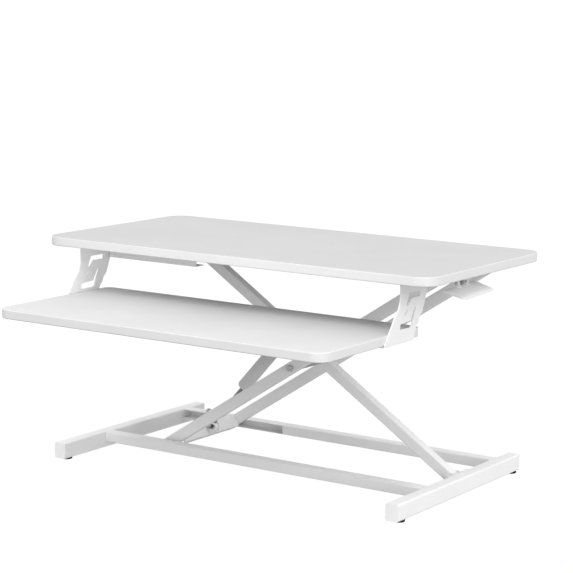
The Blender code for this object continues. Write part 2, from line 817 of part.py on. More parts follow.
def top_hinges():
    """A plate under the board with two ears around the outer arm's upper end."""
    for end, sides in (("front", OUTER_BAR_FRONT), ("rear", OUTER_BAR_REAR)):
        near = sides[0] - 0.0035
        far = sides[1] + 0.0035
        bracket = plate(
            f"top_hinge_bracket_{end}",
            rectangle(PIVOT_X - HINGE_HALF, PIVOT_X + HINGE_HALF, near - HINGE_FLANGE, far + HINGE_FLANGE),
            PLAN,
            PLATE_TOP - SHEET,
            PLATE_TOP,
            POWDER,
        )
        ear_outline = [(PIVOT_X + 0.0160, PLATE_TOP - 0.001), (PIVOT_X - 0.0160, PLATE_TOP - 0.001)]
        ear_outline += arc((PIVOT_X, TOP_PIVOT_Z), 0.0110, 190, 350, 10)
        ears = []
        for start in (near, sides[1] + 0.0005):
            ears.append(plate("hinge_ear", ear_outline, FRONT, start, start + 0.0030))
        add(bracket, *ears)
        centre = (PIVOT_X, TOP_PIVOT_Z)
        low, high = near - 0.01, far + 0.01
        spots = hinge_screws(sides)
        cut(bracket, drill("bore", FRONT, centre, AXLE_RADIUS + BORE_PLAY, low, high))
        cut(bracket, *[screw_hole(x, y) for x, y in spots])
        for place, (x, y) in zip(("front", "rear"), spots):
            screw(f"hinge_screw_{end}_{place}", x, y)


def hinge_screws(sides):
    reach = 0.0035 + HINGE_FLANGE / 2
    return [(PIVOT_X, sides[0] - reach), (PIVOT_X, sides[1] + reach)]


def track_screws():
    found = []
    for outer, sign in ((CROSSBAR_FRONT[0], 1), (CROSSBAR_REAR[1], -1)):
        for x in TRACK_SCREWS:
            found.append((x, outer - sign * FLANGE_REACH / 2))
    return found


# --- Release lever ------------------------------------------------------------------------

LEVER_EARS = (-0.0440, -0.0092)
BRACKET_EARS = (-0.0480, -0.0052)
LEVER_TILT = math.radians(2.2)  # the paddle's front end hangs lower than its rear end
LEVER_CORNER = 0.0100
LEVER_THICK_INNER = 0.0060
LEVER_THICK_OUTER = 0.0026
LEVER_SCREW = [(0.4170, -0.0260)]


def lever():
    bracket = plate(
        "lever_bracket",
        rounded(0.4060, 0.4420, -0.0540, 0.0020, 0.003, 3),
        PLAN,
        PLATE_TOP - SHEET,
        PLATE_TOP,
        POWDER,
    )
    ear_outline = [(LEVER_AXIS[0] + 0.0110, PLATE_TOP - 0.001), (LEVER_AXIS[0] - 0.0150, PLATE_TOP - 0.001)]
    ear_outline += arc(LEVER_AXIS, 0.0038, 200, 350, 8)
    ears = [plate("ear", ear_outline, FRONT, y, y + 0.0020) for y in BRACKET_EARS]
    add(bracket, *ears)
    cut(bracket, drill("bore", FRONT, LEVER_AXIS, 0.0023, -0.06, 0.01, 16))
    cut(bracket, *[screw_hole(x, y) for x, y in LEVER_SCREW])
    for x, y in LEVER_SCREW:
        screw("lever_bracket_screw", x, y)
    low = BRACKET_EARS[0] - GAP
    high = BRACKET_EARS[1] + 0.0020 + GAP
    pin("lever_pin", FRONT, LEVER_AXIS, low, high, 0.0035, 0.0015, 0.0020)
    paddle()
    return_spring()


def paddle():
    """A curved plate that slopes down and outwards from its two hinge ears."""
    along = Vector((0, math.cos(LEVER_TILT), math.sin(LEVER_TILT)))
    upright = Vector((0, -math.sin(LEVER_TILT), math.cos(LEVER_TILT)))
    space = frame(X, upright, along, (0, 0, 0))
    upper = [
        (0.4285, 0.4415),
        (0.4360, 0.4399),
        (0.4450, 0.4371),
        (0.4540, 0.4346),
        (0.4620, 0.4325),
        (0.4690, 0.4303),
        (0.4745, 0.4279),
    ]
    count = len(upper) - 1
    lower = []
    for i, (x, z) in enumerate(upper):
        thick = LEVER_THICK_INNER + (LEVER_THICK_OUTER - LEVER_THICK_INNER) * i / count
        lower.append((x - 0.0006, z - thick))
    made = plate("lever_paddle", upper + lower[::-1], space, LEVER_SPAN[0], LEVER_SPAN[1], PLASTIC)
    outline = arc((0.4760 - LEVER_CORNER, LEVER_SPAN[0] + LEVER_CORNER + 0.0005), LEVER_CORNER, 270, 360, 5)
    outline += arc((0.4760 - LEVER_CORNER, LEVER_SPAN[1] - LEVER_CORNER - 0.0005), LEVER_CORNER, 0, 90, 5)
    outline += [(0.4200, LEVER_SPAN[1] - 0.0005), (0.4200, LEVER_SPAN[0] + 0.0005)]
    combine(made, [plate("lever_outline", outline, PLAN, 0.4, 0.46)], "INTERSECT")
    ear_outline = arc(LEVER_AXIS, 0.0045, -20, 200, 10)
    ear_outline += [(0.4270, 0.4405), (0.4318, 0.4380), (0.4440, 0.4350)]
    ears = [plate("ear", ear_outline, FRONT, y, y + 0.0022) for y in LEVER_EARS]
    add(made, *ears)
    cut(made, drill("bore", FRONT, LEVER_AXIS, 0.0023, -0.06, 0.01, 16))


def return_spring():
    """A torsion coil round the lever's pin, its two ends resting on the bracket and the paddle."""
    turns, steps, sides = 4, 10, 5
    radius, wire = 0.0034, 0.0005
    start, length = -0.0320, 0.0120
    path = []
    for i in range(turns * steps + 1):
        turn = 2 * math.pi * i / steps + math.pi / 2
        y = start + length * i / (turns * steps)
        at = (LEVER_AXIS[0] + radius * math.cos(turn), LEVER_AXIS[1] + radius * math.sin(turn))
        path.append(Vector((at[0], y, at[1])))
    reach = Vector((-0.0060, 0, 0))
    path = [path[0] + reach] + path + [path[-1] + reach]
    bm = bmesh.new()
    rings = []
    for i, point in enumerate(path):
        before, after = path[max(i - 1, 0)], path[min(i + 1, len(path) - 1)]
        ahead = (after - before).normalized()
        side = ahead.cross(Y).normalized()
        up = side.cross(ahead)
        ring = []
        for k in range(sides):
            turn = 2 * math.pi * k / sides
            offset = side * math.cos(turn) + up * math.sin(turn)
            ring.append(bm.verts.new(point + offset * wire + Vector((0, SHIFT_Y, 0))))
        rings.append(ring)
    bm.faces.new(rings[0])
    bm.faces.new(rings[-1])
    for one, two in zip(rings, rings[1:]):
        for k in range(sides):
            j = (k + 1) % sides
            bm.faces.new((one[k], one[j], two[j], two[k]))
    finish("lever_spring", bm, STEEL, smooth=True)


# --- Assembly -----------------------------------------------------------------------------

base()
outer_arm()
inner_arm()
centre_bolt()
rollers()
gas_spring()
screws = track_screws() + hinge_screws(OUTER_BAR_FRONT) + hinge_screws(OUTER_BAR_REAR) + LEVER_SCREW
boards(screws)
tray_brackets()
top_tracks()
top_hinges()
lever()
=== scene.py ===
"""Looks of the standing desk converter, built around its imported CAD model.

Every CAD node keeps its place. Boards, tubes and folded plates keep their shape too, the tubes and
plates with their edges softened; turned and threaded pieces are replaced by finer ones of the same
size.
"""

import json
import math

import bmesh
import bpy
from mathutils import Matrix, Vector


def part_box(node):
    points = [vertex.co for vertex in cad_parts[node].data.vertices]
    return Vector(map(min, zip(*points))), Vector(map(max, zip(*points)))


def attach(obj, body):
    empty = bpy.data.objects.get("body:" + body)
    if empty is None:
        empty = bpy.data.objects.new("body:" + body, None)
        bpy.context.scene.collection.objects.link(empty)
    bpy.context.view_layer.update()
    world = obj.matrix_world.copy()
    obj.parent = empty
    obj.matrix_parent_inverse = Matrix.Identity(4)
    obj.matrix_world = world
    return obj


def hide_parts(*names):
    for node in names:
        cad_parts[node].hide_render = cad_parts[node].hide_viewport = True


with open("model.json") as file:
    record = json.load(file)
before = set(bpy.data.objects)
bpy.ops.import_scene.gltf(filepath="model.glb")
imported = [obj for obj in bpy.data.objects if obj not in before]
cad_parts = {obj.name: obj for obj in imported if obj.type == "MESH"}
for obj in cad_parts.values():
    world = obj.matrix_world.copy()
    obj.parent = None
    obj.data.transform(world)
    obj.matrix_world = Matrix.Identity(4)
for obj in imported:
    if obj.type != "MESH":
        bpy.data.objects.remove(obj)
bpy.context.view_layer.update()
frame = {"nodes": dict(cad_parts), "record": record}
nodes = frame["nodes"]

# --- Driving values, in metres and radians where nothing else is said ---------------------

SHIFT_Y = 0.1121  # the frame's origin is the middle of the whole depth, not of the feet

CAMERA_AT = (2.2844, -3.4551 + SHIFT_Y, 1.0530)
CAMERA_YAW = 0.5851
CAMERA_PITCH = 0.1586
CAMERA_ROLL = 0.0148
CAMERA_LENS = 124.31  # mm
CAMERA_SENSOR = 36  # mm wide
CAMERA_REACH = 400  # farther than the floor's edge

ZENITH, HORIZON, NADIR = 1.15, 0.70, 0.34  # strength of the dome above, level and below
FLOOR_GLOW = 0.97  # strength of its own light, near white
FLOOR_TONE = 0.06  # dark, so that shadows on it stay faint
FLOOR_REACH = 220  # from the middle to each side
LIGHTS = (
    # name, place, aimed at, width, watts
    ("key", (-0.4, -3.7, 6.2), (0, 0, 0.3), 4.0, 205),
    ("fill", (5.0, -1.8, 3.2), (0, 0, 0.3), 3.0, 75),
    ("low", (5.4, -2.4, 0.6), (0, 0, 0.35), 1.6, 62),
)

# Colours, each from its darkest to its lightest shade
DESKTOP_SHADES = ((0.510, 0.510, 0.515), (0.540, 0.540, 0.545))
# The tray's laminate is painted lighter than the desktop's: painted light against the desktop's shadow
# on it
TRAY_LIT_SHADES = ((0.625, 0.625, 0.63), (0.665, 0.665, 0.67))
FLECK_SHADES = ((0.55, 0.55, 0.55), (0.76, 0.76, 0.76))
# Painted light: the boards' upright sides are coloured lighter than their top and bottom
SIDE_LIGHT_SHADES = ((0.74, 0.74, 0.745), (0.77, 0.77, 0.775))
POWDER_SHADES = ((0.88, 0.88, 0.88), (0.92, 0.92, 0.92))
PLASTIC_SHADES = ((0.91, 0.91, 0.91), (0.95, 0.95, 0.94))
NYLON_SHADES = ((0.50, 0.50, 0.49), (0.58, 0.58, 0.57))
RUBBER_SHADES = ((0.012, 0.012, 0.012), (0.03, 0.03, 0.03))
CYLINDER_SHADES = ((0.62, 0.62, 0.63), (0.68, 0.68, 0.69))
STEEL_SHADES = ((0.46, 0.46, 0.45), (0.62, 0.62, 0.60))
CHROME_SHADES = ((0.24, 0.24, 0.25), (0.32, 0.32, 0.33))

# Texture sizes, in cycles per metre
BOARD_CLOUDS = 7
BOARD_FLECKS = 1900
BOARD_PEARL = 1300
PAINT_CLOUDS = 14
DUST = 260
SPANGLES = 420

# Width of the softened edges, by slot
SOFT_EDGE = {"powder": 0.0006, "plastic": 0.0007, "steel": 0.0003}
SOFT_ANGLE = math.radians(32)
NODE_SHARP_ANGLE = math.radians(30)
PIECE_SHARP_ANGLE = math.radians(34)

# Sides of the turned pieces
FINE_SIDES = 56
MANY_SIDES = 48
SIDES = 40
PIN_SIDES = 32
SMALL_SIDES = 28
WIRE_SIDES = 10

# Gas spring, given by its two pins
MIDDLE_Y = 0.0417 + SHIFT_Y
SPRING_LOW = Vector((-0.2284, MIDDLE_Y, 0.0500))
SPRING_HIGH = Vector((-0.0348, MIDDLE_Y, 0.2691))
CYLINDER_RADIUS = 0.0145
CYLINDER_NEAR = 0.0240  # from the upper pin to the closed end
CYLINDER_FAR = 0.1620  # from the upper pin to the rod end
CYLINDER_CLOSED_ROUND = 0.0040  # radius of the closed end's rim
CYLINDER_ROD_END_ROUND = 0.0035  # radius of the rod end's rim
ROLLED_GROOVE_DEPTH = 0.0007
ROLLED_GROOVE_LEVELS = (0.0180, 0.0170, 0.0155, 0.0145)  # back from the rod end
GUIDE_DEPTH = 0.0120  # bore in the rod end, round the rod
GUIDE_PLAY = 0.0003
GUIDE_LIP = 0.0008
ROD_RADIUS = 0.0040
ROD_LENGTH = 0.1800
ROD_TIP = 0.0060  # from the lower pin to the rod's end
COLLAR_LEVELS = (0.0120, 0.0115, 0.0050, 0.0045)  # back from the rod's end
COLLAR_RISE = 0.0012
EYE_RADIUS = 0.0080
EYE_ARC = (math.radians(60), math.radians(240))  # start and sweep
EYE_STEPS = 28
TONGUE_HALF = 0.0043  # half the thickness of both eyes
CYLINDER_NECK = 0.0065  # half the width of the eye's neck
ROD_NECK = 0.0036  # the same, on the rod
ROD_NECK_REACH = 0.0100  # from the lower pin into the rod

# Pins and what turns on them
PIN_RADIUS = 0.0040
BORE_RADIUS = 0.0043
BORE_PAST = 0.01  # how far a drill runs past the piece that it cuts

# Wood screws, from the underside of the head up
SCREW_HEAD = 0.0040
SCREW_HEAD_HEIGHT = 0.0021
SCREW_SHANK = 0.0020
SCREW_PITCH = 0.0010
SCREW_THREAD = 0.0004
RECESS_ARMS = (0.0019, 0.00045)  # half length and half width
RECESS_DEPTH = 0.0012

# Centre bolt and nut
BOLT_RADIUS = 0.0049
BOLT_PITCH = 0.0008
BOLT_THREAD = 0.0004
BOLT_END = 0.0040
BOLT_HEAD_HEIGHT = 0.0064
NUT_BORE = 0.0053
HEXAGON_RADIUS = 0.0074
HEXAGON_TURN = math.pi / 2
HEXAGON_CHAMFER = 0.0011
HEXAGON_FLAT = 0.84  # radius of the flat ends, as a part of the corners' radius

# Lever pin and spring
LEVER_PIN_RADIUS = 0.0020
LEVER_PIN_HEAD = 0.0035
LEVER_PIN_HEAD_DEPTH = 0.0015
WIRE_RADIUS = 0.0005
COIL_RADIUS = 0.0034
COIL_TURNS = 4
COIL_STEPS = 28  # per turn
COIL_LEG = Vector((-0.0060, 0, 0))

# Axles' retaining heads
AXLE_HEAD = 0.0055
AXLE_HEAD_DEPTH = 0.0012

# Button on the rear crossbar, down from its top
BUTTON_RADIUS = 0.0060
BUTTON_HEIGHT = 0.0074
BUTTON_STRAIGHT = 0.0034
BUTTON_STUD = 0.0030
BUTTON_DOME = 0.0058
BUTTON_DOME_START = 0.0040

# Foot pads
PAD_HEIGHT = 0.0047  # from the desk up to the foot, without the stud
PAD_STUD = 0.0020
PAD_GROOVE = 0.0006
PAD_FOOT_ROUND = 0.0012
PAD_TOP_ROUND = 0.0008

X, Y, Z = Vector((1, 0, 0)), Vector((0, 1, 0)), Vector((0, 0, 1))
SLOT_OF = {part["node"]: part["material_slot"] for part in frame["record"]["subparts"]}
BODY_OF = {}
for body, members in frame["record"]["behaviour"]["bodies"].items():
    for member in members:
        BODY_OF[member] = body

# --- Material building blocks --------------------------------------------------------------


def link(tree, source, output, target, socket):
    tree.links.new(source.outputs[output], target.inputs[socket])


def coordinates(tree, stretch):
    """The object's own coordinates, stretched per axis."""
    place = tree.nodes.new("ShaderNodeTexCoord")
    mapping = tree.nodes.new("ShaderNodeMapping")
    mapping.inputs["Scale"].default_value = stretch
    link(tree, place, "Object", mapping, "Vector")
    return mapping


def noise(tree, scale, detail=2.0, rough=0.5, stretch=(1, 1, 1)):
    """Noise with this many cycles per metre."""
    made = tree.nodes.new("ShaderNodeTexNoise")
    made.inputs["Scale"].default_value = scale
    made.inputs["Detail"].default_value = detail
    made.inputs["Roughness"].default_value = rough
    link(tree, coordinates(tree, stretch), "Vector", made, "Vector")
    return made


def cells(tree, scale):
    """Irregular cells, this many per metre."""
    made = tree.nodes.new("ShaderNodeTexVoronoi")
    made.inputs["Scale"].default_value = scale
    link(tree, coordinates(tree, (1, 1, 1)), "Vector", made, "Vector")
    return made


def spread(tree, source, output, low, high, start=0.3, end=0.7):
    """Maps a texture's values from start..end to low..high."""
    made = tree.nodes.new("ShaderNodeMapRange")
    made.inputs["From Min"].default_value = start
    made.inputs["From Max"].default_value = end
    made.inputs["To Min"].default_value = low
    made.inputs["To Max"].default_value = high
    link(tree, source, output, made, "Value")
    return made


def shades(tree, source, output, dark, light, start=0.3, end=0.7):
    """Maps a texture's values from start..end to a colour between two others."""
    made = tree.nodes.new("ShaderNodeValToRGB")
    made.color_ramp.elements[0].position = start
    made.color_ramp.elements[1].position = end
    made.color_ramp.elements[0].color = (*dark, 1)
    made.color_ramp.elements[1].color = (*light, 1)
    link(tree, source, output, made, "Fac")
    return made


def colour_output(node):
    """The output of a node that carries a colour."""
    return next(s for s in node.outputs if s.type == "RGBA" and s.enabled)


def mix(tree, factor, output, first, second):
    """A colour between two colour nodes, or plain colours, by a texture's value."""
    made = tree.nodes.new("ShaderNodeMix")
    made.data_type = "RGBA"
    link(tree, factor, output, made, "Factor")
    for socket, given in (("A", first), ("B", second)):
        target = next(s for s in made.inputs if s.name == socket and s.type == "RGBA")
        if isinstance(given, tuple):
            target.default_value = (*given, 1)
        else:
            tree.links.new(colour_output(given), target)
    return made


def bump(tree, source, output, depth, previous=None):
    made = tree.nodes.new("ShaderNodeBump")
    made.inputs["Distance"].default_value = depth
    made.inputs["Strength"].default_value = 1.0
    link(tree, source, output, made, "Height")
    if previous:
        link(tree, previous, "Normal", made, "Normal")
    return made


def new_material(name, metallic=0.0, specular=0.5):
    made = bpy.data.materials.new(name)
    made.use_nodes = True
    shader = made.node_tree.nodes["Principled BSDF"]
    shader.inputs["Metallic"].default_value = metallic
    shader.inputs["Specular IOR Level"].default_value = specular
    return made, made.node_tree, shader


# --- Materials -----------------------------------------------------------------------------


def laminate(name, dark, light):
    """Matt white melamine with a fine pearl texture; painted light makes its sides lighter than top and
    bottom.
    """
    made, tree, shader = new_material(name, 0.0, 0.35)
    cloud = noise(tree, BOARD_CLOUDS, 4.0, 0.6)
    face = shades(tree, cloud, "Fac", dark, light)
    fleck = noise(tree, BOARD_FLECKS, 2.0, 0.6)
    speck = shades(tree, fleck, "Fac", *FLECK_SHADES, 0.24, 0.40)
    flecked = tree.nodes.new("ShaderNodeMix")
    flecked.data_type = "RGBA"
    flecked.blend_type = "MULTIPLY"
    flecked.inputs["Factor"].default_value = 0.25
    colours = [socket for socket in flecked.inputs if socket.type == "RGBA"]
    tree.links.new(face.outputs["Color"], colours[0])
    tree.links.new(speck.outputs["Color"], colours[1])
    # Painted light: upright faces take the lighter side colour, faces that look up or down the darker
    # one
    shape = tree.nodes.new("ShaderNodeNewGeometry")
    split = tree.nodes.new("ShaderNodeSeparateXYZ")
    link(tree, shape, "Normal", split, "Vector")
    size = tree.nodes.new("ShaderNodeMath")
    size.operation = "ABSOLUTE"
    link(tree, split, "Z", size, 0)
    side_light = spread(tree, size, "Value", 1.0, 0.0, 0.35, 0.75)
    lit_side = shades(tree, cloud, "Fac", *SIDE_LIGHT_SHADES)
    both = mix(tree, side_light, "Result", flecked, lit_side)
    tree.links.new(colour_output(both), shader.inputs["Base Color"])
    pearl = noise(tree, BOARD_PEARL, 3.0, 0.55)
    gloss = spread(tree, pearl, "Fac", 0.42, 0.58)
    link(tree, gloss, "Result", shader, "Roughness")
    wide = bump(tree, cloud, "Fac", 0.00015)
    fine = bump(tree, pearl, "Fac", 0.00004, wide)
    link(tree, fine, "Normal", shader, "Normal")
    return made


def coated(name, dark, light, roughness, peel, depth, specular=0.45):
    """Paint or moulded plastic: drifting colour, a peel of that many bumps per metre, and dust."""
    made, tree, shader = new_material(name, 0.0, specular)
    cloud = noise(tree, PAINT_CLOUDS, 4.0, 0.6)
    colour = shades(tree, cloud, "Fac", dark, light)
    dust = noise(tree, DUST, 5.0, 0.7)
    film = spread(tree, dust, "Fac", 0.0, 0.10, 0.55, 0.80)
    dusty = mix(tree, film, "Result", colour, tuple(0.86 * c for c in dark))
    tree.links.new(colour_output(dusty), shader.inputs["Base Color"])
    skin = noise(tree, peel, 2.0, 0.45)
    gloss = spread(tree, skin, "Fac", *roughness)
    link(tree, gloss, "Result", shader, "Roughness")
    wide = bump(tree, dust, "Fac", depth * 0.5)
    fine = bump(tree, skin, "Fac", depth, wide)
    link(tree, fine, "Normal", shader, "Normal")
    return made


def metal(name, dark, light, roughness, grain, stretch, depth):
    """Bare or plated metal: spangled tone, and fine marks stretched along one axis."""
    made, tree, shader = new_material(name, 1.0)
    spangle = cells(tree, SPANGLES)
    colour = shades(tree, spangle, "Color", dark, light, 0.1, 0.9)
    link(tree, colour, "Color", shader, "Base Color")
    marks = noise(tree, grain, 4.0, 0.6, stretch)
    gloss = spread(tree, marks, "Fac", *roughness)
    link(tree, gloss, "Result", shader, "Roughness")
    fine = bump(tree, marks, "Fac", depth)
    link(tree, fine, "Normal", shader, "Normal")
    return made


# A lighter copy of the laminate for the tray: painted light against the desktop's shadow on it
TRAY_LIT_LAMINATE = laminate("look_tray_laminate_lit", *TRAY_LIT_SHADES)
POWDER = coated("look_powder", *POWDER_SHADES, (0.38, 0.52), 1000, 0.00005)
FINISHES = {
    "laminate": laminate("look_laminate", *DESKTOP_SHADES),
    "powder": POWDER,
    "plastic": coated("look_plastic", *PLASTIC_SHADES, (0.36, 0.50), 1600, 0.00004),
    "nylon": coated("look_nylon", *NYLON_SHADES, (0.42, 0.58), 700, 0.00004),
    "rubber": coated("look_rubber", *RUBBER_SHADES, (0.70, 0.95), 900, 0.00008, 0.3),
    "cylinder": coated("look_cylinder", *CYLINDER_SHADES, (0.24, 0.36), 1200, 0.00002, 0.6),
    "steel": metal("look_steel", *STEEL_SHADES, (0.24, 0.44), 700, (1, 8, 1), 0.00002),
    "rod": metal("look_chrome", *CHROME_SHADES, (0.10, 0.20), 400, (1, 1, 6), 0.00001),
}

# --- CAD nodes that keep their shape -------------------------------------------------------


def dress_nodes():
    """Each CAD node takes its slot's finish and a small bevel along its sharp edges."""
    for name, node in nodes.items():
        slot = SLOT_OF[name]
        # The tray takes the lighter, painted-lit copy of the laminate
        finish = TRAY_LIT_LAMINATE if name == "keyboard_tray" else FINISHES[slot]
        node.data.materials.clear()
        node.data.materials.append(finish)
        node.data.shade_smooth()
        node.data.set_sharp_from_angle(angle=NODE_SHARP_ANGLE)
        if slot in SOFT_EDGE:
            soften(node, SOFT_EDGE[slot])


def soften(made, width):
    bevel = made.modifiers.new("soften", "BEVEL")
    bevel.width = width
    bevel.segments = 2
    bevel.limit_method = "ANGLE"
    bevel.angle_limit = SOFT_ANGLE
    bevel.use_clamp_overlap = True
    bevel.harden_normals = True


# --- Shapes for the finer pieces -----------------------------------------------------------


def new_object(name, bm):
    bmesh.ops.recalc_face_normals(bm, faces=bm.faces)
    mesh = bpy.data.meshes.new(name)
    bm.to_mesh(mesh)
    bm.free()
    made = bpy.data.objects.new(name, mesh)
    bpy.context.scene.collection.objects.link(made)
    return made


def across(axis):
    """Two directions square to an axis."""
    side = axis.orthogonal().normalized()
    return side, axis.cross(side).normalized()


def turned(name, origin, axis, profile, sides=SIDES):
    """A closed shape from (radius, distance) points turned about an axis."""
    side, up = across(axis)
    bm = bmesh.new()
    rings = []
    for radius, level in profile:
        at = Vector(origin) + axis * level
        if radius == 0:
            rings.append([bm.verts.new(at)])
            continue
        ring = []
        for k in range(sides):
            turn = 2 * math.pi * k / sides
            ring.append(bm.verts.new(at + (side * math.cos(turn) + up * math.sin(turn)) * radius))
        rings.append(ring)
    pairs = list(zip(rings, rings[1:]))
    if len(rings[0]) > 1:
        pairs.append((rings[-1], rings[0]))
    for one, two in pairs:
        for k in range(sides):
            j = (k + 1) % sides
            corners = [one[k % len(one)], one[j % len(one)], two[j % len(two)], two[k % len(two)]]
            bm.faces.new(list(dict.fromkeys(corners)))
    return new_object(name, bm)


def prism(name, outline, place, low, high):
    """A flat outline extruded from low to high; place(a, b, level) puts its points in space."""
    bm = bmesh.new()
    ends = []
    for level in (low, high):
        ends.append([bm.verts.new(place(a, b, level)) for a, b in outline])
    for end in ends:
        bm.faces.new(end)
    for k in range(len(outline)):
        j = (k + 1) % len(outline)
        bm.faces.new((ends[0][k], ends[0][j], ends[1][j], ends[1][k]))
    return new_object(name, bm)


def square_to(origin, axis):
    """A prism's place function: its outline lies square to an axis through origin."""
    side, up = across(axis)
    return lambda a, b, level: Vector(origin) + side * a + up * b + axis * level


def merged(made, others, operation):
    """made joined with, or cut by, the others, which are used up."""
    for other in others:
        step = made.modifiers.new("step", "BOOLEAN")
        step.operation = operation
        step.solver = "EXACT"
        step.object = other
    graph = bpy.context.evaluated_depsgraph_get()
    mesh = bpy.data.meshes.new_from_object(made.evaluated_get(graph))
    made.modifiers.clear()
    made.data = mesh
    for other in others:
        bpy.data.objects.remove(other, do_unlink=True)
    return made


def stand_in(made, node, finish=None):
    """made takes a CAD node's place, body and its slot's finish."""
    made.data.materials.clear()
    made.data.materials.append(finish or FINISHES[SLOT_OF[node]])
    made.data.shade_smooth()
    made.data.set_sharp_from_angle(angle=PIECE_SHARP_ANGLE)
    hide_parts(node)
    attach(made, BODY_OF[node])


def middle(node):
    low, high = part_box(node)
    return (Vector(low) + Vector(high)) / 2


def extent(node, axis):
    """Where a node begins and ends along an axis, given as 0, 1 or 2."""
    low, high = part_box(node)
    return low[axis], high[axis]


def dome(radius, start, height, count=6):
    """Profile points of a domed end: from the rim at start to the axis at start + height."""
    points = []
    for k in range(count):
        turn = math.pi / 2 * k / count
        points.append((radius * math.cos(turn), start + height * math.sin(turn)))
    return points + [(0, start + height)]


def two_ended(half, low, high):
    """A profile's first half followed by its mirror image in the middle of low..high."""
    return half + [(radius, low + high - level) for radius, level in reversed(half)]

# --- Turned and threaded pieces ------------------------------------------------------------


def wood_screws():
    """Pan-head screws with a cross recess and a threaded shank."""
    for node in nodes:
        if "screw" in node:
            wood_screw(node)


def wood_screw(node):
    at = middle(node)
    low, high = extent(node, 2)
    profile = [
        (0, low),
        (SCREW_HEAD - 0.0012, low),
        (SCREW_HEAD - 0.0005, low + 0.0004),
        (SCREW_HEAD, low + 0.0011),
        (SCREW_HEAD, low + SCREW_HEAD_HEIGHT),
        (SCREW_SHANK, low + SCREW_HEAD_HEIGHT + 0.0001),
    ]
    level = low + SCREW_HEAD_HEIGHT + 0.0011
    while level < high - 0.0026:
        profile += [(SCREW_SHANK, level), (SCREW_SHANK - SCREW_THREAD, level + SCREW_PITCH / 2)]
        level += SCREW_PITCH
    profile += [(SCREW_SHANK - 0.0005, high - 0.0020), (0, high)]
    made = turned(f"{node}_fine", (at.x, at.y, 0), Z, profile, SMALL_SIDES)
    recess = []
    for a, b in (RECESS_ARMS, reversed(RECESS_ARMS)):
        outline = [(-a, -b), (a, -b), (a, b), (-a, b)]
        place = square_to((at.x, at.y, 0), Z)
        recess.append(prism("recess", outline, place, low - 0.001, low + RECESS_DEPTH))
    stand_in(merged(made, recess, "DIFFERENCE"), node)


def headed_pins():
    """Pins along the depth, with domed heads."""
    for node in ("base_hinge_pin", "top_hinge_pin_front", "top_hinge_pin_rear"):
        finish = POWDER if node == "base_hinge_pin" else None
        headed_pin(node, 0.0028, finish)
    for node in ("gas_upper_pin", "gas_lower_pin"):
        headed_pin(node, 0.0022)


def headed_pin(node, depth, finish=None):
    at = middle(node)
    low, high = extent(node, 1)
    left, right = extent(node, 0)
    head = (right - left) / 2
    half = [
        (0, low),
        (head * 0.40, low + depth * 0.04),
        (head * 0.70, low + depth * 0.16),
        (head * 0.90, low + depth * 0.36),
        (head, low + depth * 0.62),
        (head, low + depth),
        (PIN_RADIUS, low + depth),
    ]
    made = turned(f"{node}_fine", (at.x, 0, at.z), Y, two_ended(half, low, high), PIN_SIDES)
    stand_in(made, node, finish)


def rollers():
    """Nylon rollers with a rounded tread, a middle groove and recessed sides."""
    for node in nodes:
        if "_roller_" in node:
            roller(node)


def roller(node):
    at = middle(node)
    low, high = extent(node, 1)
    left, right = extent(node, 0)
    tread = (right - left) / 2
    half = [
        (BORE_RADIUS, low + 0.0006),
        (BORE_RADIUS + 0.0012, low),
        (BORE_RADIUS + 0.0018, low),
        (BORE_RADIUS + 0.0020, low + 0.0010),
        (tread - 0.0018, low + 0.0010),
        (tread - 0.0016, low),
        (tread - 0.0009, low),
        (tread - 0.0003, low + 0.0003),
        (tread, low + 0.0010),
        (tread, at.y - 0.0014),
        (tread - 0.0006, at.y - 0.0008),
    ]
    made = turned(f"{node}_fine", (at.x, 0, at.z), Y, two_ended(half, low, high))
    stand_in(made, node)


def foot_pads():
    """Rubber pads with a soft rim and rings in their underside."""
    for node in nodes:
        if "foot_pad" in node:
            foot_pad(node)


def foot_pad(node):
    at = middle(node)
    left, right = extent(node, 0)
    stud_end = extent(node, 2)[1]
    rim = (right - left) / 2
    profile = [
        (0, PAD_GROOVE),
        (0.0020, PAD_GROOVE),
        (0.0024, 0),
        (0.0036, 0),
        (0.0040, PAD_GROOVE),
        (0.0050, PAD_GROOVE),
        (0.0054, 0),
        (rim - 0.0014, 0),
        (rim - 0.0006, 0.0003),
        (rim, PAD_FOOT_ROUND),
        (rim, PAD_HEIGHT - PAD_TOP_ROUND),
        (rim - PAD_TOP_ROUND, PAD_HEIGHT),
        (PAD_STUD, PAD_HEIGHT),
        (PAD_STUD, stud_end),
        (0, stud_end),
    ]
    stand_in(turned(f"{node}_fine", (at.x, at.y, 0), Z, profile), node)


def stop_button():
    """A domed button on a stud in the rear crossbar."""
    node = "track_stop_button"
    at = middle(node)
    low, high = extent(node, 2)
    base = high - BUTTON_HEIGHT
    profile = [
        (0, low),
        (BUTTON_STUD, low),
        (BUTTON_STUD, base),
        (BUTTON_RADIUS, base),
        (BUTTON_RADIUS, base + BUTTON_STRAIGHT),
    ]
    dome_start = base + BUTTON_DOME_START
    profile += dome(BUTTON_DOME, dome_start, high - dome_start)
    stand_in(turned(f"{node}_fine", (at.x, at.y, 0), Z, profile, PIN_SIDES), node)


def axles():
    """Ground rods with a rounded retaining head at each end."""
    for node in ("lower_axle", "upper_axle"):
        at = middle(node)
        low, high = extent(node, 1)
        half = [
            (0, low),
            (0.0046, low),
            (0.0052, low + 0.0002),
            (AXLE_HEAD, low + 0.0005),
            (AXLE_HEAD, low + AXLE_HEAD_DEPTH),
            (PIN_RADIUS, low + AXLE_HEAD_DEPTH),
        ]
        made = turned(f"{node}_fine", (at.x, 0, at.z), Y, two_ended(half, low, high), PIN_SIDES)
        stand_in(made, node)


